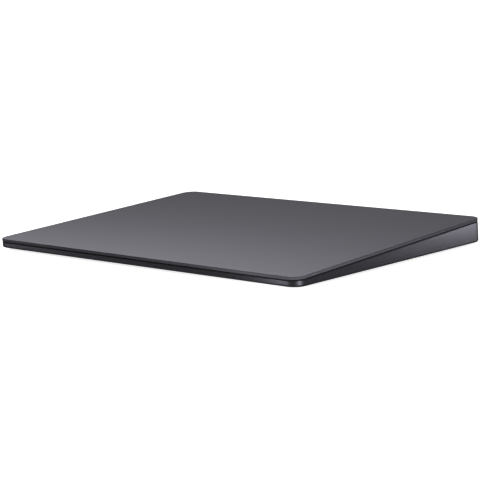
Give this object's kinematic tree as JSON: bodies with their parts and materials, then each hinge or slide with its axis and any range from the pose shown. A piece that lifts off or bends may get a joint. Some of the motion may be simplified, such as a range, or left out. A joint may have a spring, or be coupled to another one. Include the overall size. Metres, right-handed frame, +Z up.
{
  "type": "wireless trackpad",
  "caption": "Flat wireless trackpad: tilted dark glass touch plate floating in a wedge-shaped dark metal housing, thin at the front, on rubber feet.",
  "frame": {"origin": "on the desk, under the middle of the outline", "axes": "+X to the user's right along the long side, +Y from the thin front edge to the thick rear edge, +Z up from the desk"},
  "size_m": [0.16, 0.1148, 0.0109],
  "materials": {
    "anodised_housing": "dark grey anodised, fine bead blast",
    "touch_surface": "dark grey satin touch glass, opaque",
    "black_film": "matt black film",
    "foam": "black closed-cell foam",
    "rubber_foot": "dark grey rubber",
    "circuit_board": "black-green solder mask",
    "steel": "bright stamped steel",
    "screw_steel": "plain steel screws",
    "gel": "clear gel pad",
    "chip": "black epoxy",
    "ribbon": "amber polyimide ribbon",
    "copper": "varnished copper winding",
    "iron": "plated soft iron",
    "pouch": "silver laminate pouch",
    "tape": "white adhesive tape",
    "gold": "gold-plated contacts",
    "dark_plastic": "dark grey moulded plastic",
    "pale_plastic": "natural moulded plastic",
    "on_green": "green patch"
  },
  "bodies": {
    "base": {"actuator_bracket": "steel", "actuator_coil_1": "copper", "actuator_coil_2": "copper", "actuator_coil_3": "copper", "actuator_coil_4": "copper", "actuator_core": "iron", "actuator_screws": "screw_steel", "antenna_carrier": "pale_plastic", "antenna_element": "copper", "battery_cell": "pouch", "battery_lead": "dark_plastic", "battery_protection_board": "circuit_board", "battery_tape": "tape", "board_connectors": "pale_plastic", "board_screws": "screw_steel", "bottom_cover": "anodised_housing", "charge_port_bracket": "steel", "charge_port_contacts": "gold", "charge_port_shell": "steel", "charge_port_tongue": "chip", "cover_adhesive": "black_film", "flexure_screws": "screw_steel", "foot_front_left": "rubber_foot", "foot_front_right": "rubber_foot", "foot_rear_left": "rubber_foot", "foot_rear_right": "rubber_foot", "force_flexure_front_left": "steel", "force_flexure_front_right": "steel", "force_flexure_rear_left": "steel", "force_flexure_rear_right": "steel", "gauge_flex_cables": "ribbon", "housing": "anodised_housing", "logic_board": "circuit_board", "logic_chips": "chip", "logic_shield": "steel", "seam_gasket": "foam", "strain_gauges": "ribbon", "switch_bezel": "dark_plastic", "switch_body": "pale_plastic", "switch_on_patch": "on_green", "touch_flex_cable": "ribbon", "travel_stops": "rubber_foot"},
    "suspension": {"gel_pad_front_left": "gel", "gel_pad_front_right": "gel", "gel_pad_rear_left": "gel", "gel_pad_rear_right": "gel"},
    "platen": {"touch_glass": "touch_surface", "glass_adhesive": "black_film", "sensor_board": "circuit_board", "stiffener_plate": "steel", "touch_controller_chips": "chip", "touch_shield": "steel", "flex_connector": "pale_plastic", "attraction_rail": "iron", "rail_bracket": "steel", "rail_screws": "screw_steel"},
    "power_switch": {"switch_slider": "dark_plastic"}
  },
  "joints": [
    {"name": "platen_press", "type": "slide", "parent": "base", "child": "suspension", "axis": [0, 0.0523, -0.9986], "range_m": [0, 0.0002], "stiffness_N_per_m": 20000, "springref_m": -0.00006, "deforming": ["force_flexure_front_left", "force_flexure_front_right", "force_flexure_rear_left", "force_flexure_rear_right", "touch_flex_cable"]},
    {"name": "haptic_slide", "type": "slide", "parent": "suspension", "child": "platen", "axis": [1, 0, 0], "range_m": [-0.00015, 0.00015], "stiffness_N_per_m": 15000},
    {"name": "power_switch_slide", "type": "slide", "parent": "base", "child": "power_switch", "axis": [1, 0, 0], "range_m": [0, 0.0026]}
  ]
}
